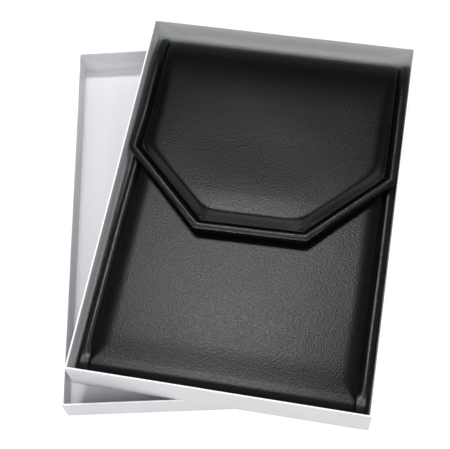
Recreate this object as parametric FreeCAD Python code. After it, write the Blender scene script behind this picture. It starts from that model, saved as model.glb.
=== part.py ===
import FreeCAD, Part
import math
import os
from FreeCAD import Vector

# A flat padded leatherette card case with an envelope flap. It lies in the tray of a
# two-part rigid paper box, and the tray stands on the box's upturned lid.
# Millimetres, +Z up. X runs across the case and +Y towards its spine. The origin is on
# the ground under the middle of the whole set's footprint.

# ---- driving dimensions -------------------------------------------------------------

# rigid box: board, corner paper and outer wrap
tray_width, tray_length, tray_height = 180.0, 256.0, 29.0
lid_width, lid_length, lid_height = 184.5, 260.5, 22.5
board_thickness = 0.85
corner_paper_thickness = 0.08
corner_paper_arm = 14.0
wrap_thickness = 0.12
tray_turn_in, lid_turn_in = 12.0, 13.0

# where the lid lies under the tray
lid_turn_deg = 11.6
lid_shift_x, lid_shift_y = -29.7, 3.1

# case: outline, measured from the middle of the tray
case_middle_x = 0.15
body_width = 176.1
case_front_y, case_back_y = -125.8, 124.2
bottom_fold_height = 12.8
spine_height = 16.0
leather_thickness = 0.8
board_inset = 3.0
back_board_thickness = 2.0
lining_thickness = 0.5
pocket_gap = 5.2
pocket_mouth_y = 78.0
front_board_thickness = 1.4
body_crown_height = 13.8
body_border_width = 6.5
body_border_height = 13.6
stitch_margin = 2.5
pad_edge_radius = 3.0
border_edge_radius = 2.0
seam_gap = 0.05
seam_end_gap = 2.0
lining_margin = 1.0

# flap
flap_underside = 15.8
flap_left_x, flap_right_x = -86.9, 87.9
flap_corner_y = 28.5
flap_tip_left_x, flap_tip_right_x = -33.6, 38.0
flap_tip_y = -22.8
flap_border_width = 6.5
flap_border_height = 21.6
flap_crown_height = 23.6
flap_board_thickness = 1.5
flap_board_margin = 3.5
flap_rise_length = 20.0
flap_depth_at_spine = 2.4
border_step_at_spine = 0.2
hinge_gap = 0.3

# concealed magnetic closure
magnet_radius, magnet_thickness = 7.0, 1.5
keeper_radius, keeper_thickness = 8.0, 0.8
closure_x, closure_y = 2.4, 0.0

# thread
thread_width, thread_height = 0.7, 0.3

# larger than the whole case, for cutting layers to shape
beyond, above = 200.0, 60.0

# ---- worked-out places --------------------------------------------------------------

rim_thickness = 2 * wrap_thickness + corner_paper_thickness + board_thickness
box_floor = wrap_thickness + board_thickness
case_floor = lid_height + box_floor
case_back_round = spine_height / 2
spine_start_y = case_back_y - case_back_round
fold_round = bottom_fold_height / 2
fold_start_y = case_front_y + fold_round
body_left_x = case_middle_x - body_width / 2
body_right_x = case_middle_x + body_width / 2
back_lining_z = leather_thickness + back_board_thickness
pocket_floor = back_lining_z + lining_thickness
front_lining_z = pocket_floor + pocket_gap
front_board_z = front_lining_z + lining_thickness
front_foam_z = front_board_z + front_board_thickness
pad_inset = body_border_width + stitch_margin
flap_board_z = flap_underside + lining_thickness
flap_foam_z = flap_board_z + flap_board_thickness
flap_end_y = spine_start_y - hinge_gap
flap_pad_inset = flap_border_width + stitch_margin


def rotated_corners(width, length, turn_deg, x, y):
    """The four corners of a rectangle turned about its middle."""
    c, s = math.cos(math.radians(turn_deg)), math.sin(math.radians(turn_deg))
    halves = [(sx * width / 2, sy * length / 2) for sx in (-1, 1) for sy in (-1, 1)]
    return [(x + u * c - v * s, y + u * s + v * c) for u, v in halves]


footprint = rotated_corners(tray_width, tray_length, 0, 0, 0)
footprint += rotated_corners(lid_width, lid_length, lid_turn_deg, lid_shift_x, lid_shift_y)
middle_x = (min(p[0] for p in footprint) + max(p[0] for p in footprint)) / 2
middle_y = (min(p[1] for p in footprint) + max(p[1] for p in footprint)) / 2

lid_place = FreeCAD.Placement(
    Vector(lid_shift_x - middle_x, lid_shift_y - middle_y, 0),
    FreeCAD.Rotation(Vector(0, 0, 1), lid_turn_deg),
)
tray_place = FreeCAD.Placement(Vector(-middle_x, -middle_y, lid_height), FreeCAD.Rotation())
case_place = FreeCAD.Placement(Vector(-middle_x, -middle_y, case_floor), FreeCAD.Rotation())

# ---- small helpers ------------------------------------------------------------------


def block(x0, x1, y0, y1, z0, z1):
    """A box between two corners."""
    return Part.makeBox(x1 - x0, y1 - y0, z1 - z0, Vector(x0, y0, z0))


def fused(shapes):
    """One solid from touching shapes."""
    return shapes[0].multiFuse(shapes[1:]).removeSplitter()


def prism(outline, z0, z1):
    """A closed outline of (x, y) points raised from z0 to z1."""
    points = [Vector(x, y, z0) for x, y in outline]
    wire = Part.makePolygon(points + points[:1])
    return Part.Face(wire).extrude(Vector(0, 0, z1 - z0))


def side_profile(outline, x0, x1):
    """A closed outline of (y, z) points extended from x0 to x1."""
    points = [Vector(x0, y, z) for y, z in outline]
    wire = Part.makePolygon(points + points[:1])
    return Part.Face(wire).extrude(Vector(x1 - x0, 0, 0))


def rounded_block(x0, x1, y0, y1, z0, z1, radius):
    """A box whose upper edges are rounded, like a padded panel."""
    body = block(x0, x1, y0, y1, z0, z1)
    upper = [e for e in body.Edges if abs(e.CenterOfMass.z - z1) < 1e-6]
    return body.makeFillet(radius, upper)


def half_ring(y, z, outer, thickness, x0, x1, facing):
    """Half a tube along X, bulging towards +Y (facing 1) or -Y (facing -1)."""
    length = x1 - x0
    start, along = Vector(x0, y, z), Vector(1, 0, 0)
    tube = Part.makeCylinder(outer, length, start, along)
    tube = tube.cut(Part.makeCylinder(outer - thickness, length, start, along))
    near, far = sorted((y, y + facing * 2 * outer))
    return tube.common(block(x0, x1, near, far, z - 2 * outer, z + 2 * outer))


def upright_disc(radius, thickness, x, y, z):
    return Part.makeCylinder(radius, thickness, Vector(x, y, z))


# ---- rigid box ----------------------------------------------------------------------


def box_board(width, length, height):
    """Scored board: a floor panel and four walls folded up on it."""
    inset = wrap_thickness + corner_paper_thickness
    x, y, t = width / 2 - inset, length / 2 - inset, board_thickness
    z0, z1 = wrap_thickness, height - wrap_thickness
    floor = block(-x, x, -y, y, z0, z0 + t)
    z0 += t
    return [
        floor,
        block(-x, x, -y, -y + t, z0, z1),
        block(-x, x, y - t, y, z0, z1),
        block(-x, -x + t, -y + t, y - t, z0, z1),
        block(x - t, x, -y + t, y - t, z0, z1),
    ]


def box_corner_papers(width, length, height):
    """Paper stays glued round the outside of the four upright board corners."""
    x, y = width / 2 - wrap_thickness, length / 2 - wrap_thickness
    t, arm = corner_paper_thickness, corner_paper_arm
    z0, z1 = wrap_thickness, height - wrap_thickness
    papers = []
    for sx in (-1, 1):
        for sy in (-1, 1):
            across = block(*sorted((sx * x, sx * (x - arm))), *sorted((sy * y, sy * (y - t))), z0, z1)
            along = block(*sorted((sx * x, sx * (x - t))), *sorted((sy * y, sy * (y - arm))), z0, z1)
            papers.append(fused([across, along]))
    return papers


def box_wrap(width, length, height, turn_in):
    """White paper wrap: a bottom sheet and four panels turned in over the rim."""
    x, y, t, r = width / 2, length / 2, wrap_thickness, rim_thickness
    bottom = block(-x, x, -y, y, 0, t)
    panels = [bottom]
    for s in (-1, 1):
        outer = block(-x, x, *sorted((s * y, s * (y - t))), t, height)
        over = block(-x, x, *sorted((s * y, s * (y - r))), height - t, height)
        inner = block(-x + r, x - r, *sorted((s * (y - r), s * (y - r + t))), height - turn_in, height)
        panels.append(fused([outer, over, inner]))
    for s in (-1, 1):
        outer = block(*sorted((s * x, s * (x - t))), -y + t, y - t, t, height - t)
        over = block(*sorted((s * x, s * (x - r))), -y + r, y - r, height - t, height)
        inner = block(*sorted((s * (x - r), s * (x - r + t))), -y + r, y - r, height - turn_in, height)
        panels.append(fused([outer, over, inner]))
    return panels


# ---- case body ----------------------------------------------------------------------


def body_skins():
    x0, x1 = body_left_x, body_right_x
    back_cover = block(x0, x1, fold_start_y, spine_start_y, 0, leather_thickness)
    bottom_fold = half_ring(fold_start_y, fold_round, fold_round, leather_thickness, x0, x1, -1)
    spine_strip = half_ring(spine_start_y, case_back_round, case_back_round, leather_thickness, x0, x1, 1)
    return {"back_cover": [back_cover], "bottom_fold": [bottom_fold], "spine_strip": [spine_strip]}


def body_back():
    x0, x1 = body_left_x + board_inset, body_right_x - board_inset
    y0, y1 = fold_start_y + board_inset / 2, spine_start_y - board_inset / 2
    board = block(x0, x1, y0, y1, leather_thickness, back_lining_z)
    lining = block(x0 + lining_margin, x1 - lining_margin, y0, y1, back_lining_z, pocket_floor)
    return {"back_board": [board], "back_lining": [lining]}


def body_front():
    """The padded front panel, from the lining inside the pocket to the crowned cover."""
    x0, x1 = body_left_x + pad_inset, body_right_x - pad_inset
    y0, y1 = fold_start_y + lining_margin, pocket_mouth_y
    lining = block(x0, x1, y0, y1, front_lining_z, front_board_z)
    board = block(x0, x1, y0, y1, front_board_z, front_foam_z)
    keeper = upright_disc(keeper_radius, keeper_thickness, closure_x, closure_y, front_foam_z - keeper_thickness)
    board = board.cut(keeper)
    t = leather_thickness
    inside = rounded_block(x0 + t, x1 - t, y0 + t, y1 - t, front_foam_z, body_crown_height - t, pad_edge_radius - 1)
    outside = rounded_block(x0, x1, y0, y1, front_foam_z, body_crown_height, pad_edge_radius)
    return {
        "front_lining": [lining],
        "front_board": [board],
        "front_foam": [inside],
        "front_cover": [outside.cut(inside)],
        "front_keeper": [keeper],
    }


def body_sides():
    """Gussets close the pocket's sides; rolled borders and their seams finish the front."""
    parts = {"body_stitching": []}
    for name, edge, s in (("left", body_left_x, 1), ("right", body_right_x, -1)):
        gusset = block(
            *sorted((edge, edge + s * leather_thickness)),
            fold_start_y, pocket_mouth_y, leather_thickness, front_board_z,
        )
        parts[name + "_gusset"] = [gusset]
        inner = edge + s * body_border_width
        roll = block(*sorted((edge, inner)), fold_start_y, pocket_mouth_y, front_board_z, body_border_height)
        upper = [
            e for e in roll.Edges
            if abs(e.CenterOfMass.z - body_border_height) < 1e-6 and abs(e.CenterOfMass.y) < pocket_mouth_y - 1
        ]
        roll = roll.makeFillet(border_edge_radius, upper)
        margin = block(
            *sorted((inner, edge + s * (pad_inset - seam_gap))),
            fold_start_y, pocket_mouth_y, front_board_z, front_board_z + leather_thickness,
        )
        parts[name + "_border"] = [fused([roll, margin])]
        seam = inner + s * stitch_margin / 2
        z = front_board_z + leather_thickness
        parts["body_stitching"].append(
            block(
                seam - thread_width / 2, seam + thread_width / 2,
                fold_start_y + seam_end_gap, pocket_mouth_y - seam_end_gap, z, z + thread_height,
            )
        )
    return parts


# ---- flap ---------------------------------------------------------------------------


def flap_outline(inset):
    """The flap's six-sided outline, moved in by inset along its sides and tip."""
    corners = [
        (flap_left_x, flap_end_y),
        (flap_left_x, flap_corner_y),
        (flap_tip_left_x, flap_tip_y),
        (flap_tip_right_x, flap_tip_y),
        (flap_right_x, flap_corner_y),
        (flap_right_x, flap_end_y),
    ]
    edges = []
    for (ax, ay), (bx, by) in zip(corners, corners[1:]):
        run = math.hypot(bx - ax, by - ay)
        nx, ny = -(by - ay) / run, (bx - ax) / run
        edges.append((ax + nx * inset, ay + ny * inset, (bx - ax) / run, (by - ay) / run))
    moved = [(flap_left_x + inset, flap_end_y)]
    for (px, py, ux, uy), (qx, qy, vx, vy) in zip(edges, edges[1:]):
        step = ((qx - px) * vy - (qy - py) * vx) / (ux * vy - uy * vx)
        moved.append((px + ux * step, py + uy * step))
    moved.append((flap_right_x - inset, flap_end_y))
    return moved


def flap_layer(inset, low, high, low_at_spine, high_at_spine):
    """A layer of the flap that drops to the spine along its last stretch."""
    rise_y = flap_end_y - flap_rise_length
    profile = [
        (-beyond, low), (rise_y, low), (flap_end_y, low_at_spine),
        (flap_end_y, high_at_spine), (rise_y, high), (-beyond, high),
    ]
    sheet = side_profile(profile, -beyond, beyond)
    return prism(flap_outline(inset), 0, above).common(sheet)


def flap_parts():
    t = leather_thickness
    top_at_spine = spine_height
    low_at_spine = spine_height - flap_depth_at_spine
    layer_at_spine = low_at_spine + lining_thickness
    lining = flap_layer(lining_margin, flap_underside, flap_board_z, low_at_spine, layer_at_spine)
    stiff_end = flap_end_y - flap_rise_length - lining_margin
    board = prism(flap_outline(flap_pad_inset + flap_board_margin), flap_board_z, flap_foam_z)
    board = board.common(block(-beyond, beyond, -beyond, stiff_end, 0, above))
    magnet = upright_disc(magnet_radius, magnet_thickness, closure_x, closure_y, flap_board_z)
    board = board.cut(magnet)
    inside = flap_layer(
        flap_pad_inset + t, flap_foam_z, flap_crown_height - t,
        layer_at_spine + seam_gap, top_at_spine - t,
    )
    outside = flap_layer(
        flap_pad_inset, flap_foam_z, flap_crown_height,
        layer_at_spine + seam_gap, top_at_spine,
    )
    ring = flap_layer(
        0.0, flap_board_z, flap_border_height,
        layer_at_spine, top_at_spine - border_step_at_spine,
    )
    ring = ring.cut(prism(flap_outline(flap_border_width), 0, above))
    bars = [
        block(-beyond, 0, flap_corner_y, beyond, 0, above),
        block(0, beyond, flap_corner_y, beyond, 0, above),
        block(-beyond, flap_tip_left_x, -beyond, flap_corner_y, 0, above),
        block(flap_tip_left_x, flap_tip_right_x, -beyond, flap_corner_y, 0, above),
        block(flap_tip_right_x, beyond, -beyond, flap_corner_y, 0, above),
    ]
    border = [solid for bar in bars for solid in ring.common(bar).Solids]
    seam_inset = flap_border_width + stitch_margin / 2
    seam = flap_layer(
        seam_inset - thread_width / 2, flap_board_z, flap_board_z + thread_height,
        layer_at_spine + seam_gap, layer_at_spine + seam_gap + thread_height,
    ).cut(prism(flap_outline(seam_inset + thread_width / 2), 0, above))
    return {
        "flap_lining": [lining],
        "flap_board": [board],
        "flap_foam": [inside],
        "flap_cover": [outside.cut(inside)],
        "flap_border": border,
        "flap_stitching": seam.Solids,
        "flap_magnet": [magnet],
    }


# ---- build and write ----------------------------------------------------------------


def write(name, solids, place):
    placed = []
    for solid in solids:
        copy = solid.copy()
        copy.Placement = place.multiply(copy.Placement)
        placed.append(copy)
    shape = placed[0] if len(placed) == 1 else Part.makeCompound(placed)
    shape.exportStep("parts/" + name + ".step")


def main():
    os.makedirs("parts", exist_ok=True)
    boxes = (
        ("lid", lid_width, lid_length, lid_height, lid_turn_in, lid_place),
        ("tray", tray_width, tray_length, tray_height, tray_turn_in, tray_place),
    )
    for name, width, length, height, turn_in, place in boxes:
        write(name + "_board", box_board(width, length, height), place)
        write(name + "_corner_papers", box_corner_papers(width, length, height), place)
        write(name + "_wrap", box_wrap(width, length, height, turn_in), place)
    for group in (body_skins(), body_back(), body_front(), body_sides(), flap_parts()):
        for name, solids in group.items():
            write(name, solids, case_place)
    hinge_y = spine_start_y - middle_y
    hinge_z = case_floor + spine_height
    print(f"middle ({middle_x:.4f}, {middle_y:.4f}), hinge y {hinge_y:.4f} z {hinge_z:.4f}")
    print(f"case floor {case_floor:.3f}, pocket {pocket_floor:.2f} to {front_lining_z:.2f}")


main()
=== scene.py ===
"""Looks of a padded leatherette card case in its rigid paper box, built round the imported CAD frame."""

import math

import bpy
import numpy as np
from mathutils import Matrix, Vector


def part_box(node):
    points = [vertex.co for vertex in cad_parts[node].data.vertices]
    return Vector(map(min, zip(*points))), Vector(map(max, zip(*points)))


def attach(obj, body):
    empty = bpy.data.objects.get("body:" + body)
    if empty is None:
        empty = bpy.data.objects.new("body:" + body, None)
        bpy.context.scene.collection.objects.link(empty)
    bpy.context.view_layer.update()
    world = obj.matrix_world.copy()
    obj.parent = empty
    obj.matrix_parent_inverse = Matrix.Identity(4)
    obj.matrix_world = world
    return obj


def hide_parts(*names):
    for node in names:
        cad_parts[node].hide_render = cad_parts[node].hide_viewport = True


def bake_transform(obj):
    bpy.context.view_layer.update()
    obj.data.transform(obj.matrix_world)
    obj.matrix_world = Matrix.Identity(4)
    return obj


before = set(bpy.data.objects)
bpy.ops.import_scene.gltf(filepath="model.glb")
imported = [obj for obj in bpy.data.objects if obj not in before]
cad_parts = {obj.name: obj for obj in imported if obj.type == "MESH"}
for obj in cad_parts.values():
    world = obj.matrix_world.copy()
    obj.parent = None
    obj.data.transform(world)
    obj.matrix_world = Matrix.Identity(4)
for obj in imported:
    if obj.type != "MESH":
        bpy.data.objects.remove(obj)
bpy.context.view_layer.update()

# ---- places, from the frame ---------------------------------------------------------
# Case shapes are worked out in millimetres from the middle of the tray and the underside
# of the case, then moved to the row frame in metres.

MM = 0.001
tray_lo, tray_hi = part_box("tray_wrap")
MIDDLE_X, MIDDLE_Y = (tray_lo.x + tray_hi.x) / 2, (tray_lo.y + tray_hi.y) / 2
CASE_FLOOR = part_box("back_cover")[0].z


def case_x(metres):
    return (metres - MIDDLE_X) / MM


def case_y(metres):
    return (metres - MIDDLE_Y) / MM


BODY_LEFT = case_x(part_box("back_cover")[0].x)
BODY_RIGHT = case_x(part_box("back_cover")[1].x)
CASE_FRONT = case_y(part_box("bottom_fold")[0].y)
CASE_BACK = case_y(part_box("spine_strip")[1].y)
FLAP_LEFT = case_x(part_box("flap_border")[0].x)
FLAP_RIGHT = case_x(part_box("flap_border")[1].x)

# body: heights in mm above the case's underside, and lengths in mm
MOUTH_Y = 78.0
LEATHER = 0.8
SEAM_INSET, SEAM_OVERLAP = 7.7, 0.7
BODY_CROWN, BODY_ROLL, BODY_GROOVE, BODY_UNDER = 12.2, 13.7, 10.3, 9.0
ROLL_FLOOR = 9.2
BODY_PAD_SLOPE, SLIT_PAD_SLOPE = 11.0, 1.6
BELLY_HEIGHT, BELLY_START, BELLY_RUN = 1.0, 90, 100
FOLD_START_Y, FOLD_CREST_Y = -115.5, -117.0
FOLD_LENGTH, FOLD_TURN_LENGTH = 16.0, 10.0
FOLD_LEAD, FOLD_DROP, FOLD_FRONT_LEVEL = 5.6, 2.2, 5.2
DIP_DEPTH, DIP_LEAD, DIP_RUN = 0.44, 22.0, 18.0
BEAD_HEIGHT, BEAD_LEAD, BEAD_RUN = 0.47, 4.2, 6.4
CLOSING_START, CLOSING_RUN = 104.0, 13.0
BACK_JOIN_FRONT, BACK_JOIN_SPINE = -117.5, 112.0
BODY_LEAN_START, BODY_LEAN_RUN = -125.0, 190.0

# flap
FLAP_CORNER_Y, FLAP_LEAN_RUN = 28.5, 34.0
TIP_LEFT, TIP_RIGHT = (-33.6, -23.6), (38.0, -22.0)
FLAP_UNDER, FLAP_GROOVE, FLAP_ROLL, FLAP_CROWN = 15.8, 18.8, 21.5, 22.4
FLAP_PAD_SIDE, FLAP_PAD_SLOPE = 4.7, 9.0
CENTRE_RISE, CENTRE_RISE_REACH = 0.75, 30.0
SPINE_GROOVE, SPINE_CROWN, SPINE_INNER_REACH = 19.7, 21.1, 118.6
FLAP_BEND_Y, FLAP_BEND_LENGTH, FLAP_TAIL = 83.0, 53.0, 9.0
FLAP_END = FLAP_BEND_Y + FLAP_BEND_LENGTH + FLAP_TAIL
TIP_LIFT, TIP_LIFT_START, TIP_LIFT_RUN = 1.0, 20.0, 65.0
SPINE_FRONT_LEVEL = 5.5

# how far the case's left side leans in at the spine: body and flap
BODY_DRAW_IN, FLAP_DRAW_IN = 2.6, 1.4

# stitches
STITCH_PITCH, STITCH_LENGTH, THREAD = 2.8, 2.15, 0.52
STITCH_PULL, STITCH_PULL_REACH = 0.13, 1.6

# slow unevenness of hand-made padding: wavelength and height of each wave
PADDING_WAVES = ((95, 0.05), (62, 0.03), (43, 0.016), (27, 0.007), (18, 0.003))

# ---- mesh helpers -------------------------------------------------------------------


def to_row(points):
    """Case millimetres to row metres."""
    points = np.asarray(points, float)
    return points * MM + np.array([MIDDLE_X, MIDDLE_Y, CASE_FLOOR])


def mesh_object(name, points, faces, material, smooth=True):
    mesh = bpy.data.meshes.new(name)
    mesh.from_pydata([tuple(p) for p in points], [], [tuple(f) for f in faces])
    mesh.validate()
    mesh.materials.append(material)
    mesh.polygons.foreach_set("use_smooth", [smooth] * len(mesh.polygons))
    mesh.set_sharp_from_angle(angle=math.radians(50))
    mesh.update()
    piece = bpy.data.objects.new(name, mesh)
    bpy.context.scene.collection.objects.link(piece)
    return piece


def grid_faces(rows, columns, offset=0, closed_rows=False, closed_columns=False, flip=False):
    """Quads of a rows x columns grid of points."""
    i = np.arange(rows if closed_rows else rows - 1)
    j = np.arange(columns if closed_columns else columns - 1)
    i, j = np.meshgrid(i, j, indexing="ij")
    i2, j2 = (i + 1) % rows, (j + 1) % columns
    quads = np.stack([i * columns + j, i2 * columns + j, i2 * columns + j2, i * columns + j2], -1)
    quads = quads.reshape(-1, 4) + offset
    return (quads[:, ::-1] if flip else quads).tolist()


def grid_normals(grid):
    along, across = np.gradient(grid, axis=0), np.gradient(grid, axis=1)
    normals = np.cross(along, across)
    return normals / np.maximum(np.linalg.norm(normals, axis=-1, keepdims=True), 1e-9)


def sheet_solid(name, grid, thickness, material, up=1.0):
    """A closed sheet: grid is its outer side, and the inner side lies a thickness inside it."""
    rows, columns = grid.shape[:2]
    normals = grid_normals(grid) * up
    inner = grid - normals * thickness
    points = np.concatenate([grid.reshape(-1, 3), inner.reshape(-1, 3)])
    count = rows * columns
    faces = grid_faces(rows, columns, flip=up < 0) + grid_faces(rows, columns, count, flip=up > 0)
    rim = [i * columns for i in range(rows)]
    rim += [(rows - 1) * columns + j for j in range(1, columns)]
    rim += [i * columns + columns - 1 for i in range(rows - 2, -1, -1)]
    rim += [j for j in range(columns - 2, 0, -1)]
    for a, b in zip(rim, rim[1:] + rim[:1]):
        quad = [b, a, a + count, b + count]
        faces.append(quad if up > 0 else quad[::-1])
    return mesh_object(name, to_row(points), faces, material)


def swept_solid(name, grid, material, flip=False):
    """A bar: each row of grid is one closed section, and both ends are capped."""
    rows, columns = grid.shape[:2]
    faces = grid_faces(rows, columns, closed_columns=True, flip=flip)
    caps = [list(range(columns)), [(rows - 1) * columns + j for j in range(columns)][::-1]]
    faces += [c[::-1] if flip else c for c in caps]
    return mesh_object(name, to_row(grid.reshape(-1, 3)), faces, material)


def spread(low, high, step, fine, reach):
    """Values from low to high: fine steps within reach of both ends, wider ones between."""
    ends = np.arange(0, reach, fine)
    count = max(2, int(round((high - low - 2 * reach) / step)))
    middle = np.linspace(low + reach, high - reach, count)
    return np.concatenate([low + ends, middle, (high - ends)[::-1]])


def smoothstep(x):
    x = np.clip(x, 0, 1)
    return x * x * (3 - 2 * x)


def puff(x, power=2.4):
    """Rise of a padded panel away from its seam: steep at the seam, level at x = 1."""
    return 1 - (1 - np.clip(x, 0, 1)) ** power


def soft_rise(x, softness=0.12):
    """A straight rise to 1 at x = 1, with a rounded shoulder."""
    tail = math.exp(-1 / softness)
    return -softness * np.log(np.exp(-x / softness) + tail) + softness * tail


def bezier(p0, p1, p2, p3, t):
    t = np.asarray(t, float)
    s = 1 - t
    return s**3 * p0 + 3 * s * s * t * p1 + 3 * s * t * t * p2 + t**3 * p3


def soft_waves(x, y, seed):
    """Slow unevenness of hand-made padding, in mm, from a few fixed sine waves."""
    rng = np.random.default_rng(seed)
    total = np.zeros(np.broadcast(x, y).shape)
    for wavelength, height in PADDING_WAVES:
        angle, phase = rng.uniform(0, 2 * math.pi, 2)
        across = x * math.cos(angle) + y * math.sin(angle)
        total = total + height * np.sin(2 * math.pi / wavelength * across + phase)
    return total


def stitch_pull(run, inside):
    """How far the seam's thread pulls a pad down, between stitches and away from the seam."""
    between = (1 - np.cos(2 * math.pi * run / STITCH_PITCH)) / 2
    return STITCH_PULL * between * np.exp(-np.maximum(inside, 0) / STITCH_PULL_REACH)


# ---- materials ----------------------------------------------------------------------


class Nodes:
    """A short way to build a node material."""

    def __init__(self, name):
        self.material = bpy.data.materials.new(name)
        self.material.use_nodes = True
        self.tree = self.material.node_tree
        self.shader = self.tree.nodes["Principled BSDF"]
        self.coordinates = self.add("ShaderNodeTexCoord").outputs["Object"]

    def add(self, kind, links=(), **values):
        node = self.tree.nodes.new(kind)
        for key, value in values.items():
            if key in node.inputs:
                node.inputs[key].default_value = value
            else:
                setattr(node, key, value)
        for key, source in dict(links).items():
            self.tree.links.new(source, node.inputs[key])
        return node

    def noise(self, scale, detail=3.0, roughness=0.5, distortion=0.0):
        values = {"Scale": scale, "Detail": detail, "Roughness": roughness, "Distortion": distortion}
        return self.add("ShaderNodeTexNoise", {"Vector": self.coordinates}, **values).outputs["Fac"]

    def cells(self, scale, smoothness):
        node = self.add("ShaderNodeTexVoronoi", {"Vector": self.coordinates}, Scale=scale)
        node.feature = "SMOOTH_F1"
        node.inputs["Smoothness"].default_value = smoothness
        return node.outputs["Distance"]

    def ramp(self, source, low, high, low_value=0, high_value=1):
        values = {"From Min": low, "From Max": high, "To Min": low_value, "To Max": high_value}
        return self.add("ShaderNodeMapRange", {"Value": source}, **values).outputs["Result"]

    def mix(self, factor, first, second):
        node = self.add("ShaderNodeMix", {"Factor": factor}, data_type="RGBA")
        node.inputs["A"].default_value = (*first, 1)
        node.inputs["B"].default_value = (*second, 1)
        return node.outputs["Result"]

    def bump(self, height, distance, strength=1.0, below=None):
        links = {"Height": height}
        if below is not None:
            links["Normal"] = below
        return self.add("ShaderNodeBump", links, Distance=distance, Strength=strength).outputs["Normal"]

    def link(self, source, socket):
        self.tree.links.new(source, self.shader.inputs[socket])

    def set(self, **values):
        for key, value in values.items():
            self.shader.inputs[key.replace("_", " ")].default_value = value
        return self


NOISE_BAND = (0.3, 0.7)
NARROW_BAND = (0.35, 0.65)
LEATHER_DARK, LEATHER_LIGHT = (0.0010, 0.0011, 0.0013), (0.0017, 0.0019, 0.0022)
LEATHER_TINT = (0.94, 0.965, 1.0, 1)
LEATHER_ROUGHNESS_SPREAD = 0.06
LINING_DARK, LINING_LIGHT = (0.010, 0.010, 0.011), (0.022, 0.022, 0.024)
PAPER_DARK, PAPER_LIGHT = (0.640, 0.634, 0.662), (0.670, 0.663, 0.690)


def leather_material(name, smoothest, specular):
    """Black grained leatherette; smoothest is its lowest roughness."""
    m = Nodes(name)
    grain = m.cells(scale=1150, smoothness=0.6)
    creases = m.noise(scale=520, detail=4, roughness=0.6, distortion=0.4)
    drift = m.ramp(m.noise(scale=28, detail=3), *NOISE_BAND)
    m.link(m.mix(drift, LEATHER_DARK, LEATHER_LIGHT), "Base Color")
    polish = m.noise(scale=900, detail=2)
    m.link(m.ramp(polish, *NOISE_BAND, smoothest, smoothest + LEATHER_ROUGHNESS_SPREAD), "Roughness")
    fine = m.bump(grain, distance=0.00013, strength=0.5)
    m.link(m.bump(creases, distance=0.00010, strength=0.5, below=fine), "Normal")
    return m.set(Specular_IOR_Level=specular, Specular_Tint=LEATHER_TINT).material


def thread_material():
    m = Nodes("thread_black")
    m.link(m.mix(m.noise(scale=2600, detail=2), (0.006, 0.006, 0.007), (0.016, 0.016, 0.018)), "Base Color")
    m.link(m.bump(m.noise(scale=5200, detail=2), distance=0.0001, strength=0.6), "Normal")
    return m.set(Roughness=0.5, Specular_IOR_Level=0.3).material


def lining_material():
    m = Nodes("lining_black_suede")
    nap = m.noise(scale=2400, detail=3, roughness=0.7)
    patches = m.ramp(m.noise(scale=60, detail=4), *NARROW_BAND)
    m.link(m.mix(patches, LINING_DARK, LINING_LIGHT), "Base Color")
    m.link(m.bump(nap, distance=0.0002, strength=0.5), "Normal")
    return m.set(Roughness=0.95, Sheen_Weight=0.25, Sheen_Roughness=0.5).material


def paper_material(name, shade):
    """White wrap paper; shade scales its whiteness."""
    m = Nodes(name)
    fibres = m.noise(scale=900, detail=5, roughness=0.65, distortion=0.8)
    dark, light = [tuple(shade * v for v in colour) for colour in (PAPER_DARK, PAPER_LIGHT)]
    m.link(m.mix(m.ramp(m.noise(scale=35, detail=4), *NOISE_BAND), dark, light), "Base Color")
    m.link(m.ramp(fibres, *NOISE_BAND, low_value=0.38, high_value=0.46), "Roughness")
    cockle = m.bump(m.noise(scale=90, detail=3), distance=0.0004, strength=0.12)
    m.link(m.bump(fibres, distance=0.00006, strength=0.5, below=cockle), "Normal")
    return m.set(Specular_IOR_Level=0.5).material


def board_material(name, light, dark):
    m = Nodes(name)
    fibres = m.noise(scale=1400, detail=6, roughness=0.7, distortion=1.5)
    m.link(m.mix(m.ramp(fibres, *NARROW_BAND), dark, light), "Base Color")
    m.link(m.bump(fibres, distance=0.0001, strength=0.6), "Normal")
    return m.set(Roughness=0.85).material


def metal_material(name, colour, roughness):
    m = Nodes(name)
    brushing = m.noise(scale=700, detail=3)
    m.link(m.ramp(brushing, *NOISE_BAND, roughness - 0.06, roughness + 0.06), "Roughness")
    return m.set(Base_Color=(*colour, 1), Metallic=1.0).material


leather = leather_material("leatherette_black", 0.29, 0.2)
rolled_leather = leather_material("leatherette_rolled_edge", 0.31, 0.36)
thread, lining = thread_material(), lining_material()
# The paper on top of the box rims is a whiter copy of the same wrap paper: a painted highlight.
paper, rim_paper_painted_highlight = paper_material("wrap_paper_white", 1.0), paper_material("wrap_paper_painted_rim_highlight", 1.38)
white_board = board_material("box_board_white", (0.75, 0.745, 0.77), (0.71, 0.705, 0.73))
tray_board = board_material("tray_board_white", (0.71, 0.74, 0.735), (0.66, 0.69, 0.685))
grey_board = board_material("case_board_grey", (0.50, 0.48, 0.44), (0.38, 0.37, 0.34))
gummed_paper = board_material("corner_paper_buff", (0.72, 0.68, 0.58), (0.62, 0.58, 0.50))
magnet_metal = metal_material("magnet_nickel", (0.62, 0.61, 0.58), 0.25)
keeper_metal = metal_material("keeper_steel", (0.50, 0.50, 0.52), 0.38)

CAD_FINISH = {
    "lid_board": white_board, "tray_board": tray_board,
    "lid_corner_papers": gummed_paper, "tray_corner_papers": gummed_paper,
    "back_board": grey_board, "front_board": grey_board, "flap_board": grey_board,
    "back_lining": lining, "front_lining": lining,
    "flap_magnet": magnet_metal, "front_keeper": keeper_metal,
}
for node, material in CAD_FINISH.items():
    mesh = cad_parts[node].data
    mesh.materials.clear()
    mesh.materials.append(material)

# ---- rigid box: one folded paper wrap each for lid and tray ------------------------

PAPER = 0.12
FOLD = 0.45
TURN_UNDER = 3.0
BOX_RIM = 1.17
SLANT_START, SLANT = 1.0, 0.75
WALL_BOW = (0.02, 0.06)


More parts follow.
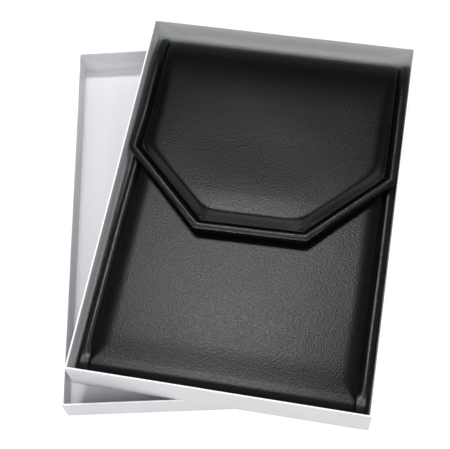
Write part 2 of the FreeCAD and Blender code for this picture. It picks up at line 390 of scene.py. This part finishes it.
def wrap_section(height, rim, turn_in):
    """Closed section of the wrap, (distance in from the outside, height), folded over the rim."""
    outer = [(TURN_UNDER, 0.0), (FOLD, 0.0), (FOLD * 0.3, FOLD * 0.3), (0.0, FOLD)]
    outer += [(0.0, height * k) for k in (0.25, 0.5, 0.75)]
    outer += [(0.0, height - FOLD), (FOLD * 0.3, height - FOLD * 0.3), (FOLD, height)]
    outer += [(rim - FOLD, height), (rim - FOLD * 0.3, height - FOLD * 0.3), (rim, height - FOLD)]
    outer += [(rim, height - turn_in * 0.5), (rim, height - turn_in)]
    inner = [(rim - PAPER, height - turn_in), (rim - PAPER, height - turn_in * 0.5)]
    inner += [(rim - PAPER, height - FOLD), (rim / 2, height - PAPER), (PAPER, height - FOLD)]
    inner += [(PAPER, height * k) for k in (0.75, 0.5, 0.25)]
    inner += [(PAPER, FOLD), (FOLD, PAPER), (TURN_UNDER, PAPER)]
    return outer + inner


def wall_places(length):
    """Distances along a wall, closer together at its corners."""
    near = np.array([0.0, 0.6, 1.5, 3.0, 5.0, 8.0, 11.0, 14.0, 18.0])
    middle = np.linspace(24.0, length - 24.0, 18)
    return np.concatenate([near, middle, (length - near[1:])[::-1]])


def box_wrap(name, corners, base, height, rim, turn_in, seed):
    """The wrap follows the box's four outer corners, anticlockwise, in row millimetres.
    Its turned-in edge is cut off slantwise towards each corner."""
    rng = np.random.default_rng(seed)
    corners = [np.array(c, float) for c in corners]
    bows = rng.uniform(*WALL_BOW, 4)
    phases = rng.uniform(0, 2 * math.pi, 4)
    rows = []
    for side in range(4):
        a, b = corners[side], corners[(side + 1) % 4]
        length = np.linalg.norm(b - a)
        along = (b - a) / length
        inward = np.array([-along[1], along[0]])
        back = (corners[side - 1] - a) / np.linalg.norm(corners[side - 1] - a)
        ahead = (corners[(side + 2) % 4] - b) / np.linalg.norm(corners[(side + 2) % 4] - b)
        for place in wall_places(length):
            share = place / length
            depth = min(turn_in, SLANT_START + SLANT * min(place, length - place))
            depth = depth * (1 + 0.012 * math.sin(6 * share + 2 * phases[side]))
            belly = math.sin(math.pi * share)
            bow = bows[side] * belly + 0.05 * math.sin(9 * share + phases[side]) * belly
            row = []
            for inset, level in wrap_section(height, rim, depth):
                start, end = a + (along + back) * inset, b + (ahead - along) * inset
                point = start + (end - start) * share + inward * (bow * level / height)
                row.append((*point, base + level))
            rows.append(row)
    grid = np.array(rows)
    count, columns = grid.shape[:2]
    faces = grid_faces(count, columns, closed_rows=True, closed_columns=True, flip=True)
    last = columns - 1
    faces = [f for f in faces if {f[0] % columns, f[1] % columns, f[2] % columns} != {0, last}]
    faces.append([i * columns for i in range(count)][::-1])
    faces.append([i * columns + last for i in range(count)])
    piece = mesh_object(name, grid.reshape(-1, 3) * MM, faces, paper)
    # Faces on top of the rim take the whiter copy of the paper, a painted highlight along the rim.
    piece.data.materials.append(rim_paper_painted_highlight)
    rim_level = (base + height - FOLD * 0.6) * MM
    for face in piece.data.polygons:
        if face.center.z > rim_level:
            face.material_index = 1
    return piece


def outer_corners(node):
    """The four outer corners of a box's wrap, anticlockwise from the lowest, in row millimetres."""
    points = np.array([v.co[:2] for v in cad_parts[node].data.vertices]) / MM
    picks = []
    for direction in ((-0.2, -1.0), (1.0, -0.2), (0.2, 1.0), (-1.0, 0.2)):
        picks.append(points[np.argmax(points @ np.array(direction))])
    return picks


for box_name, turn_in, seed in (("lid", 13.0, 3), ("tray", 12.0, 8)):
    low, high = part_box(box_name + "_wrap")
    piece = box_wrap(
        box_name + "_paper_wrap", outer_corners(box_name + "_wrap"), low.z / MM,
        (high.z - low.z) / MM, BOX_RIM, turn_in, seed,
    )
    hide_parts(box_name + "_wrap")
    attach(piece, box_name)

# ---- case body ----------------------------------------------------------------------


def left_share(x):
    """1 at the case's left edge and 0 at its right edge."""
    return np.clip((BODY_RIGHT - x) / (BODY_RIGHT - BODY_LEFT), 0, 1)


def body_lean(x, y):
    """The body is a little narrower towards the spine: its left edge leans in."""
    return x + BODY_DRAW_IN * left_share(x) * smoothstep((y - BODY_LEAN_START) / BODY_LEAN_RUN)


def flap_lean(x, along):
    """The flap's left side is drawn in at the spine and flares out to its corner."""
    return x + FLAP_DRAW_IN * left_share(x) ** 1.5 * smoothstep((along - FLAP_CORNER_Y) / FLAP_LEAN_RUN)


def body_path(level, reach, along):
    """(y, z) of a body layer at a distance along it: mouth, front, bottom fold, back.
    level is the layer's height on the flat front, and reach is how far forward it folds."""
    flat_length = MOUTH_Y - FOLD_START_Y
    y = MOUTH_Y - along
    t = np.clip((along - flat_length) / FOLD_LENGTH, 0, 1)
    y1 = bezier(FOLD_START_Y, FOLD_START_Y - FOLD_LEAD, reach, reach, t)
    z1 = bezier(level, level, level - FOLD_DROP, FOLD_FRONT_LEVEL, t)
    s = np.clip((along - flat_length - FOLD_LENGTH) / FOLD_TURN_LENGTH, 0, 1)
    y2 = bezier(reach, reach, BACK_JOIN_FRONT - 4.5, BACK_JOIN_FRONT, s)
    z2 = bezier(FOLD_FRONT_LEVEL, 1.6, 0.0, 0.0, s)
    on_front, on_fold = along <= flat_length, along <= flat_length + FOLD_LENGTH
    return (
        np.where(on_front, y, np.where(on_fold, y1, y2)),
        np.where(on_front, level, np.where(on_fold, z1, z2)),
    )


BODY_LENGTH = MOUTH_Y - FOLD_START_Y + FOLD_LENGTH + FOLD_TURN_LENGTH
BODY_STEPS = np.concatenate([
    np.arange(0, 8, 0.5), np.arange(8, 176, 1.0), np.arange(176, BODY_LENGTH, 0.5), [BODY_LENGTH],
])


def fold_bead(along):
    """Height added before the bottom fold: a slow dip, then a raised bead where the leather turns."""
    y = MOUTH_Y - along
    dip = DIP_DEPTH * smoothstep((FOLD_CREST_Y + DIP_LEAD - y) / DIP_RUN)
    return BEAD_HEIGHT * smoothstep((FOLD_CREST_Y + BEAD_LEAD - y) / BEAD_RUN) - dip


def fold_closing(along):
    """0 along the open seam groove and 1 at the bottom fold, where it closes to a slit."""
    return smoothstep((along - (MOUTH_Y + CLOSING_START)) / CLOSING_RUN)


def mouth_rounding(along, level, under, radius=7.0):
    """The front panel's turned edge at the pocket mouth."""
    k = np.clip(along / radius, 0, 1)
    return under + (level - under) * np.sqrt(np.clip(1 - (1 - k) ** 2, 0, 1))


def body_cover():
    """The padded front, from the pocket mouth round the bottom fold to the back."""
    left = BODY_LEFT + SEAM_INSET - SEAM_OVERLAP
    right = BODY_RIGHT - SEAM_INSET + SEAM_OVERLAP
    x = spread(left, right, step=3.0, fine=0.6, reach=16.0)
    along, x = np.meshgrid(BODY_STEPS, x, indexing="ij")
    closing = fold_closing(along)
    edge = np.minimum(x - left, right - x) - SEAM_OVERLAP * (1 - closing)
    middle = (x - (left + right) / 2) / ((right - left) / 2)
    slope = BODY_PAD_SLOPE + (SLIT_PAD_SLOPE - BODY_PAD_SLOPE) * closing
    level = BODY_GROOVE + (BODY_CROWN - BODY_GROOVE) * puff(edge / slope)
    level = level + BELLY_HEIGHT * (1 - middle**2) * smoothstep((along - BELLY_START) / BELLY_RUN)
    level = level + soft_waves(x, along, 5) * smoothstep(edge / 12) + fold_bead(along) * puff(edge / 3)
    level = level - stitch_pull(along, edge)
    level = np.where(edge < 0, BODY_GROOVE + edge * 0.6, level)
    reach = CASE_FRONT + 1.1 - 1.0 * puff(edge / 4)
    level = mouth_rounding(along, level, BODY_UNDER + 0.2)
    y, z = body_path(level, reach, along)
    grid = np.stack([body_lean(x, y), y, z], -1)
    return sheet_solid("body_cover", grid, LEATHER, leather, up=-1.0)


# Across a rolled edge, as (distance in, height): inner lip, outer side, top, and down to the seam.
ROLL_SECTION = [
    (2.4, 9.2), (1.7, 7.4), (0.9, 6.0), (0.25, 6.4), (0.0, 7.4), (0.05, 9.0), (0.35, 10.8),
    (0.9, 12.3), (1.6, 13.15), (2.2, 13.5), (2.9, 13.67), (3.6, 13.7), (4.3, 13.58), (5.0, 13.25),
    (5.8, 12.5), (6.6, 11.5), (7.3, 10.7), (7.9, 10.2), (8.3, 9.8), (8.3, 9.4), (7.0, 9.2),
]
ROLL_TUCK = 5.2


def body_roll(name, edge, side):
    """The rolled border down one side of the front, round the bottom fold to the back."""
    section = np.array(ROLL_SECTION)
    along, inset = np.meshgrid(BODY_STEPS, section[:, 0], indexing="ij")
    level = np.broadcast_to(section[:, 1], along.shape).copy()
    roll = np.clip((level - ROLL_FLOOR) / (BODY_ROLL - ROLL_FLOOR), 0, 1)
    flat_top = (inset > 1.5) & (inset < 7.35) & (level > BODY_GROOVE)
    level = level + fold_closing(along) * np.where(flat_top, BODY_CROWN + 0.7 - level, 0)
    level = level + 0.12 * roll * np.sin(along / 13.0 + side) + 0.07 * roll * np.sin(along / 5.1)
    level = level + fold_bead(along) * roll
    reach = CASE_FRONT + ROLL_TUCK * (1 - roll) * (inset < 2.5) + ROLL_TUCK * (inset >= 8.3)
    level = mouth_rounding(along, level, ROLL_FLOOR, radius=4.0)
    y, z = body_path(level, reach, along)
    lift = (1 - roll) * 1.2 * smoothstep((along - BODY_LENGTH + 16) / 12)
    x = edge + side * (inset + 0.12 * np.sin(along / 21.0))
    return swept_solid(name, np.stack([body_lean(x, y), y, z + lift], -1), rolled_leather, flip=side > 0)


def body_gusset(name, edge, side):
    """The side strip between the front's border and the back, drawn slightly inwards."""
    front, low, high = BACK_JOIN_FRONT - 3.0, 1.0, 10.2
    y, height = np.meshgrid(np.linspace(front, MOUTH_Y - 1.0, 120), np.linspace(low, high, 14), indexing="ij")
    hollow = 0.9 * np.sin(math.pi * (height - low) / (high - low))
    ripple = 0.12 * np.sin(y / 6.0) * np.sin(y / 23.0)
    tuck = 0.55 + hollow + ripple
    end = smoothstep((y - front) / 8)
    grid = np.stack([body_lean(edge + side * (tuck + 2.0 * (1 - end)), y), y, height], -1)
    return sheet_solid(name, grid, LEATHER, leather, up=side)


def back_cover():
    """Leatherette over the back board: flat underneath, with edges rolled up at both sides.
    It leans in half as far as the front, so that it still covers the straight board's sides,
    and its rolled edges turn inwards at the spine."""
    half = (BODY_RIGHT - BODY_LEFT) / 2
    middle = (BODY_RIGHT + BODY_LEFT) / 2
    rolled = [(half - 2.2, 3.7), (half - 0.8, 3.65), (half - 0.2, 3.2), (half, 2.4), (half, 1.4)]
    rolled += [(half - 0.3, 0.55), (half - 1.0, 0.12), (half - 2.2, 0.0)]
    inner = [(k, 0.0) for k in np.linspace(half - 6, 0, 12)]
    profile = [(middle - u, z) for u, z in rolled + inner]
    profile += [(middle + u, z) for u, z in (rolled + inner[:-1])[::-1]]
    profile = np.array(profile)
    straight = np.linspace(BACK_JOIN_FRONT, BACK_JOIN_SPINE, 90)
    y = np.concatenate([straight, BACK_JOIN_SPINE + np.array([0.35, 0.6, 0.75])])
    turned = np.concatenate([np.zeros(len(straight)), [0.35, 1.2, 4.0]])
    from_middle = profile[:, 0] - middle
    edge_share = smoothstep((np.abs(from_middle) - half + 6.0) / 3.6)
    grid = np.zeros((len(y), len(profile), 3))
    grid[..., 0] = profile[:, 0] - turned[:, None] * np.sign(from_middle) * edge_share
    grid[..., 1], grid[..., 2] = y[:, None], profile[:, 1]
    grid[..., 0] = 0.5 * (grid[..., 0] + body_lean(grid[..., 0], grid[..., 1]))
    return sheet_solid("back_cover_leather", grid, LEATHER, leather, up=1.0)


def stitches(name, centres, directions, normals):
    """Short thread stitches, each a small capsule that dips into the leather at both ends."""
    rings, around = 7, 8
    points, faces = [], []
    for centre, along, up in zip(centres, directions, normals):
        along, up = along / np.linalg.norm(along), up / np.linalg.norm(up)
        side = np.cross(along, up)
        offset = len(points)
        for r in range(rings):
            u = -1 + 2 * r / (rings - 1)
            size = THREAD / 2 * math.sqrt(max(0.02, 1 - u**4))
            middle = centre + along * (u * STITCH_LENGTH / 2) + up * (0.16 - 0.34 * u * u)
            for k in range(around):
                a = 2 * math.pi * k / around
                points.append(middle + side * (size * math.cos(a)) + up * (size * 0.8 * math.sin(a)))
        faces += grid_faces(rings, around, offset, closed_columns=True, flip=True)
        faces.append([offset + k for k in range(around)])
        faces.append([offset + (rings - 1) * around + k for k in range(around)][::-1])
    return mesh_object(name, to_row(points), faces, thread)


def body_seam(name, x):
    """One seam beside a rolled edge, from the pocket mouth to where the groove closes."""
    y = np.arange(MOUTH_Y - 4, -101.0, -STITCH_PITCH)
    centres = np.stack([body_lean(np.full_like(y, x), y), y, np.full_like(y, BODY_GROOVE + 0.12)], -1)
    slant = np.array([0.06 * (1 if x > 0 else -1), 1.0, 0.0])
    return stitches(name, centres, np.tile(slant, (len(y), 1)), np.tile([0.0, 0.0, 1.0], (len(y), 1)))


body_pieces = {
    "front_cover": body_cover(),
    "left_border": body_roll("left_border_roll", BODY_LEFT, 1),
    "right_border": body_roll("right_border_roll", BODY_RIGHT, -1),
    "left_gusset": body_gusset("left_side_gusset", BODY_LEFT, 1),
    "right_gusset": body_gusset("right_side_gusset", BODY_RIGHT, -1),
    "back_cover": back_cover(),
}
for node, piece in body_pieces.items():
    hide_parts(node)
    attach(piece, "case")
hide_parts("bottom_fold", "front_foam")
for name, x in (("left", BODY_LEFT + SEAM_INSET), ("right", BODY_RIGHT - SEAM_INSET)):
    seam = body_seam(name + "_seam_stitches", x)
    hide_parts("body_stitching")
    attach(seam, "case")

# ---- flap ---------------------------------------------------------------------------


def tip_rise(along):
    """How far the flap lifts off the body towards its tip."""
    return TIP_LIFT * smoothstep((FLAP_CORNER_Y + TIP_LIFT_START - along) / TIP_LIFT_RUN)


def flap_path(level, reach, along):
    """(y, z) of a flap layer at a distance along it, from the level flap over the spine to the back."""
    t = np.clip((along - FLAP_BEND_Y) / FLAP_BEND_LENGTH, 0, 1)
    level = level + tip_rise(along)
    y1 = bezier(FLAP_BEND_Y, 106.0, reach, reach, t)
    z1 = bezier(level, level, level - 1.7, SPINE_FRONT_LEVEL, t)
    s = np.clip((along - FLAP_BEND_Y - FLAP_BEND_LENGTH) / FLAP_TAIL, 0, 1)
    y2 = bezier(reach, reach, reach - 4.0, BACK_JOIN_SPINE, s)
    z2 = bezier(SPINE_FRONT_LEVEL, 2.0, 0.0, 0.0, s)
    flat, bending = along <= FLAP_BEND_Y, along <= FLAP_BEND_Y + FLAP_BEND_LENGTH
    return (
        np.where(flat, along, np.where(bending, y1, y2)),
        np.where(flat, level, np.where(bending, z1, z2)),
    )


OUTLINE = [
    (FLAP_LEFT, FLAP_END), (FLAP_LEFT, FLAP_CORNER_Y), TIP_LEFT, TIP_RIGHT,
    (FLAP_RIGHT, FLAP_CORNER_Y), (FLAP_RIGHT, FLAP_END),
]


def inset_outline(inset):
    """The flap's outline moved inwards by inset along its sides and tip."""
    lines = []
    for (ax, ay), (bx, by) in zip(OUTLINE, OUTLINE[1:]):
        run = math.hypot(bx - ax, by - ay)
        ux, uy = (bx - ax) / run, (by - ay) / run
        lines.append((ax - uy * inset, ay + ux * inset, ux, uy))
    points = [(FLAP_LEFT + inset, FLAP_END)]
    for (px, py, ux, uy), (qx, qy, vx, vy) in zip(lines, lines[1:]):
        step = ((qx - px) * vy - (qy - py) * vx) / (ux * vy - uy * vx)
        points.append((px + ux * step, py + uy * step))
    points.append((FLAP_RIGHT - inset, FLAP_END))
    return np.array(points)


def edge_distances(x, y):
    """Distance inside each of the flap's five edges."""
    found = []
    for (ax, ay), (bx, by) in zip(OUTLINE, OUTLINE[1:]):
        run = math.hypot(bx - ax, by - ay)
        found.append(((bx - ax) * (y - ay) - (by - ay) * (x - ax)) / run)
    return np.stack(found)


def soft_distance(x, y, softness=2.2):
    """Distance inside the nearest edge, rounded where two edges meet."""
    d = edge_distances(x, y)
    return -softness * np.log(np.exp(-d / softness).sum(0))


def rounded_run(corners, radius, spacing):
    """Points along an open run of corners, with each inner corner rounded."""
    parts = []
    last = len(corners) - 1
    lead = corners[0]
    for i in range(1, last):
        u = (corners[i] - corners[i - 1]) / np.linalg.norm(corners[i] - corners[i - 1])
        v = (corners[i + 1] - corners[i]) / np.linalg.norm(corners[i + 1] - corners[i])
        start, end = corners[i] - u * radius, corners[i] + v * radius
        parts.append(lead + (start - lead) * np.linspace(0, 1, spacing[i - 1])[:, None])
        t = np.linspace(0, 1, 8)[1:-1, None]
        parts.append((1 - t) ** 2 * start + 2 * t * (1 - t) * corners[i] + t * t * end)
        lead = end
    parts.append(lead + (corners[last] - lead) * np.linspace(0, 1, spacing[-1])[:, None])
    return np.concatenate(parts)


# points along each of the flap's five edges
RUN_SPACING = [115, 58, 56, 58, 115]

# Across the border, as (distance in, height): underside and outer face, thin lip, then rolled
# ridge and groove. The lip shows only along the tip: beside it, the border is one round roll.
BORDER_UNDER = [(4.5, 15.9), (1.2, 15.85), (0.45, 15.95), (0.1, 16.3), (0.0, 17.0), (0.0, 18.6)]
BORDER_LIP = [
    (0.02, 19.6), (0.06, 20.05), (0.18, 20.28), (0.5, 20.34), (0.9, 20.36), (1.1, 20.46),
    (1.4, 20.76), (1.75, 21.08),
]
BORDER_ROUND = [
    (0.02, 18.9), (0.12, 19.3), (0.3, 19.7), (0.5, 20.2), (0.75, 20.65), (1.05, 20.98),
    (1.35, 21.18), (1.7, 21.3),
]
BORDER_RIDGE = [
    (2.1, 21.36), (2.6, 21.45), (3.2, 21.46), (3.8, 21.34), (4.3, 21.05), (4.7, 20.55),
    (5.1, 19.85), (5.5, 18.95), (5.9, 18.2), (6.4, 17.6), (7.0, 17.2), (7.6, 17.0),
    (8.2, 16.95), (8.6, 16.8), (8.3, 16.5), (7.2, 16.3),
]
BORDER_SECTION = BORDER_UNDER + BORDER_LIP + BORDER_RIDGE
BORDER_SIDE_SECTION = BORDER_UNDER + BORDER_ROUND + BORDER_RIDGE


def spine_reach(level, top, top_reach):
    """How far back a layer goes round the spine: the lining layer least, the outer one most."""
    outwards = np.clip((level - FLAP_UNDER) / (top - FLAP_UNDER), 0, 1) ** 0.5
    return SPINE_INNER_REACH + (top_reach - SPINE_INNER_REACH) * outwards


def spine_filling(along):
    """0 on the flap and 1 over the spine, where the seam groove is drawn up shallow."""
    return smoothstep((along - (FLAP_BEND_Y - 8.0)) / 34.0)


def y_from_tip(y):
    return y - (TIP_LEFT[1] + TIP_RIGHT[1]) / 2


def flap_border():
    """The rolled edge along both sides of the flap and its tip, carried over the spine."""
    section, side_section = np.array(BORDER_SECTION), np.array(BORDER_SIDE_SECTION)
    runs = []
    for inset, _ in BORDER_SECTION:
        radius = 1.6 if inset < 5 else 2.6
        runs.append(rounded_run(inset_outline(inset), radius, RUN_SPACING))
    run = np.stack(runs, 1)
    x, along = run[..., 0], run[..., 1]
    beside = smoothstep((y_from_tip(along) - 3) / 14)
    level = section[:, 1] * (1 - beside) + side_section[:, 1] * beside
    roll = np.clip((level - 18.0) / 3.6, 0, 1)
    inset = np.broadcast_to(section[:, 0], x.shape)
    drawn = spine_filling(along) * np.clip((inset - 4.5) / 1.5, 0, 1)
    drawn = drawn * np.clip((level - 17.6) / 0.3, 0, 1)
    level = level + drawn * np.maximum(SPINE_GROOVE - level, 0)
    level = level + roll * (0.10 * np.sin((along - x) / 11.0) + 0.06 * np.sin((along + 0.7 * x) / 4.7))
    y, z = flap_path(level, spine_reach(level, FLAP_ROLL, CASE_BACK + 1.3), along)
    grid = np.stack([flap_lean(x, along), y, z], -1)
    return swept_solid("flap_border_roll", grid, rolled_leather, flip=True)


def flap_pad():
    """The padded middle of the flap, sewn down inside the border, over the spine to the back."""
    inner = inset_outline(SEAM_INSET - SEAM_OVERLAP)
    xl, xr = inner[0][0], inner[-1][0]
    tip_l, tip_r = inner[2][0], inner[3][0]
    steps = {"step": 1.6, "fine": 0.8, "reach": 8.0}
    x = np.concatenate([
        spread(xl, tip_l, **steps), np.linspace(tip_l, tip_r, 46)[1:-1], spread(tip_r, xr, **steps),
    ])
    low = np.interp(x, inner[1:5, 0], inner[1:5, 1])
    share = np.concatenate([np.arange(0, 22, 0.8), np.arange(22, 88, 1.25)]) / 88
    flat = low[None, :] + (FLAP_BEND_Y - low[None, :]) * share[:, None]
    bend = np.concatenate([np.arange(FLAP_BEND_Y, FLAP_END, 0.9), [FLAP_END]])
    along = np.concatenate([flat, np.repeat(bend[:, None], len(x), 1)])
    x = np.broadcast_to(x, along.shape)
    hard = edge_distances(x, along).min(0)
    inside = np.maximum(soft_distance(x, along) - SEAM_INSET, 0)
    filling = spine_filling(along)
    groove = FLAP_GROOVE + (SPINE_GROOVE - FLAP_GROOVE) * filling
    crown = FLAP_CROWN + (SPINE_CROWN - FLAP_CROWN) * np.clip((along - 4.0) / 94.0, 0, 1) ** 0.9
    beside = smoothstep((y_from_tip(along) - 34) / 30)
    rise = soft_rise(inside / FLAP_PAD_SIDE) * (1 - beside) + puff(inside / FLAP_PAD_SLOPE, 2.2) * beside
    centre = CENTRE_RISE * puff(inside / CENTRE_RISE_REACH, 2.0) * (1 - filling)
    level = groove + (crown - groove) * rise + centre
    level = level + soft_waves(x, along, 11) * smoothstep(inside / 12)
    run = along - 0.55 * np.abs(x)
    level = level - stitch_pull(run, inside)
    level = np.where(hard < SEAM_INSET, groove + (hard - SEAM_INSET) * 0.8, level)
    reach = CASE_BACK - 0.9 + 0.9 * puff(np.maximum(hard - SEAM_INSET, 0) / 3)
    y, z = flap_path(level, reach, along)
    grid = np.stack([flap_lean(x, along), y, z], -1)
    return sheet_solid("flap_pad_cover", grid, LEATHER, leather, up=-1.0)


def flap_lining():
    """Lining under the flap, carried down inside the spine to the back lining."""
    inset = inset_outline(4.0)
    x = np.linspace(inset[0][0], inset[-1][0], 90)
    low = np.interp(x, inset[1:5, 0], inset[1:5, 1])
    share = np.linspace(0, 1, 50)
    flat = low[None, :] + (FLAP_BEND_Y - low[None, :]) * share[:, None]
    y = np.concatenate([flat, np.repeat(np.linspace(FLAP_BEND_Y, 160, 60)[1:, None], len(x), 1)])
    t = np.clip((y - FLAP_BEND_Y) / 80, 0, 1)
    top = FLAP_UNDER - 0.05
    upper, lower = np.minimum(2 * t, 1), np.maximum(2 * t - 1, 0)
    spine_y, spine_z, end_z = 117.6, top - 3.2, 3.75
    bend_y = np.where(
        t < 0.5, bezier(FLAP_BEND_Y, 96, 112, spine_y, upper), bezier(spine_y, 119.0, 118.0, 110.0, lower),
    )
    bend_z = np.where(
        t < 0.5, bezier(top, top, top - 0.2, spine_z, upper), bezier(spine_z, top - 5.5, end_z, end_z, lower),
    )
    flat_part = y <= FLAP_BEND_Y
    x = flap_lean(np.broadcast_to(x, y.shape), y)
    z = np.where(flat_part, top + tip_rise(y), bend_z)
    grid = np.stack([x, np.where(flat_part, y, bend_y), z], -1)
    return sheet_solid("flap_lining_cloth", grid, 0.45, lining, up=1.0)


def flap_seam():
    """Stitches along the flap's seam, just inside the groove, from the spine round the tip."""
    run = rounded_run(inset_outline(SEAM_INSET), 3.0, RUN_SPACING)
    steps = np.concatenate([[0], np.cumsum(np.linalg.norm(np.diff(run, axis=0), axis=1))])
    places = np.arange(14.0, steps[-1] - 14.0, STITCH_PITCH)
    x, along = np.interp(places, steps, run[:, 0]), np.interp(places, steps, run[:, 1])
    level = FLAP_GROOVE + 0.15 + (SPINE_GROOVE - FLAP_GROOVE) * spine_filling(along)
    y, z = flap_path(level, np.full_like(along, CASE_BACK - 0.8), along)
    points = np.stack([flap_lean(x, along), y, z], -1)
    directions = np.gradient(points, axis=0)
    flap_level = along < FLAP_BEND_Y
    up = np.where(flap_level[:, None], [[0.0, 0.0, 1.0]], np.cross([[1.0, 0.0, 0.0]], directions))
    up = np.where((up[:, 2:3] < 0) & (points[:, 1:2] < 120), -up, up)
    up = np.where((points[:, 1:2] >= 120) & (up[:, 1:2] < 0), -up, up)
    return stitches("flap_seam_stitches", points, directions, up)


flap_pieces = {
    "flap_cover": (flap_pad(), "leatherette"),
    "flap_border": (flap_border(), "leatherette"),
    "flap_lining": (flap_lining(), "lining"),
    "flap_stitching": (flap_seam(), "thread"),
}
for node, (piece, slot_name) in flap_pieces.items():
    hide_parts(node)
    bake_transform(piece)
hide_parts("spine_strip", "flap_foam")

# ---- floor, light and camera --------------------------------------------------------

CAMERA_AZIMUTH, CAMERA_ELEVATION, CAMERA_ROLL = 16.54, 63.59, -7.02
CAMERA_FROM_TRAY = (64.8, -284.6, 604.4)
CAMERA_LENS = 79.44
WORLD_LOW, WORLD_HIGH, WORLD_FALL = 0.03, 0.34, 4.0
FLOOR_HALF, FLOOR_TONE, FLOOR_GLOW = 4, 0.25, 0.80
LIGHT_AIM_HEIGHT = 0.04
LIGHTS = {
    "key": {
        "azimuth": -19, "elevation": 69.5, "distance": 1.6, "width": 0.46, "height": 0.18, "radiance": 53,
    },
    "front_fill": {
        "azimuth": 180, "elevation": 50, "distance": 1.7, "width": 1.7, "height": 0.9, "radiance": 3.6,
    },
    "left_fill": {
        "azimuth": 250, "elevation": 28, "distance": 1.7, "width": 1.2, "height": 0.6, "radiance": 2.6,
    },
    "side_fill": {
        "azimuth": 96, "elevation": 44, "distance": 1.6, "width": 1.6, "height": 0.5, "radiance": 3.2,
    },
}


def add_floor():
    """A pale floor with its own glow, so that it shows as a white ground."""
    mesh = bpy.data.meshes.new("floor")
    corners = [(x * FLOOR_HALF, y * FLOOR_HALF, 0) for x, y in ((-1, -1), (1, -1), (1, 1), (-1, 1))]
    mesh.from_pydata(corners, [], [(0, 1, 2, 3)])
    floor = bpy.data.objects.new("floor", mesh)
    bpy.context.scene.collection.objects.link(floor)
    m = Nodes("floor_pale")
    m.set(Base_Color=(FLOOR_TONE, FLOOR_TONE, FLOOR_TONE, 1), Roughness=0.9)
    m.set(Emission_Color=(1, 1, 1, 1), Emission_Strength=FLOOR_GLOW)
    mesh.materials.append(m.material)


def add_area_light(name, azimuth, elevation, distance, width, height, radiance):
    """A soft box aimed at the case from a compass azimuth (0 is +Y, turning to +X) and elevation."""
    a, e = math.radians(azimuth), math.radians(elevation)
    direction = Vector((math.sin(a) * math.cos(e), math.cos(a) * math.cos(e), math.sin(e)))
    data = bpy.data.lights.new(name, "AREA")
    data.shape, data.size, data.size_y = "RECTANGLE", width, height
    data.energy = radiance * math.pi * width * height
    light = bpy.data.objects.new(name, data)
    light.location = Vector((MIDDLE_X, MIDDLE_Y, LIGHT_AIM_HEIGHT)) + direction * distance
    light.rotation_mode = "QUATERNION"
    light.rotation_quaternion = direction.to_track_quat("Z", "Y")
    bpy.context.scene.collection.objects.link(light)


def add_world():
    """Soft light from above that fades towards the horizon."""
    world = bpy.data.worlds.new("studio")
    bpy.context.scene.world = world
    world.use_nodes = True
    background = world.node_tree.nodes["Background"]
    background.inputs["Color"].default_value = (0.985, 0.985, 1.0, 1)
    tree = world.node_tree
    height = tree.nodes.new("ShaderNodeSeparateXYZ")
    tree.links.new(tree.nodes.new("ShaderNodeTexCoord").outputs["Generated"], height.inputs["Vector"])
    curve = tree.nodes.new("ShaderNodeMath")
    curve.operation = "POWER"
    curve.use_clamp = True
    curve.inputs[1].default_value = WORLD_FALL
    tree.links.new(height.outputs["Z"], curve.inputs[0])
    level = tree.nodes.new("ShaderNodeMapRange")
    level.inputs["To Min"].default_value = WORLD_LOW
    level.inputs["To Max"].default_value = WORLD_HIGH
    tree.links.new(curve.outputs["Value"], level.inputs["Value"])
    tree.links.new(level.outputs["Result"], background.inputs["Strength"])


def add_camera():
    """The camera, turned by its azimuth, its elevation and a slight roll."""
    az, el, roll = (math.radians(v) for v in (CAMERA_AZIMUTH, CAMERA_ELEVATION, CAMERA_ROLL))
    forward = Vector((-math.sin(az) * math.cos(el), math.cos(az) * math.cos(el), -math.sin(el)))
    level = Vector((math.cos(az), math.sin(az), 0))
    over = level.cross(forward)
    right = level * math.cos(roll) + over * math.sin(roll)
    up = over * math.cos(roll) - level * math.sin(roll)
    data = bpy.data.cameras.new("camera")
    data.lens, data.sensor_width = CAMERA_LENS, 36.0
    data.clip_start, data.clip_end = 0.01, 20
    camera = bpy.data.objects.new("camera", data)
    place = Vector((MIDDLE_X, MIDDLE_Y, 0)) + Vector(CAMERA_FROM_TRAY) * MM
    turn = Matrix((right, up, -forward)).transposed().to_4x4()
    camera.matrix_world = Matrix.Translation(place) @ turn
    bpy.context.scene.collection.objects.link(camera)
    bpy.context.scene.camera = camera


add_floor()
add_world()
for light_name, light_values in LIGHTS.items():
    add_area_light(light_name, **light_values)
add_camera()
bpy.context.scene.view_settings.view_transform = "Standard"
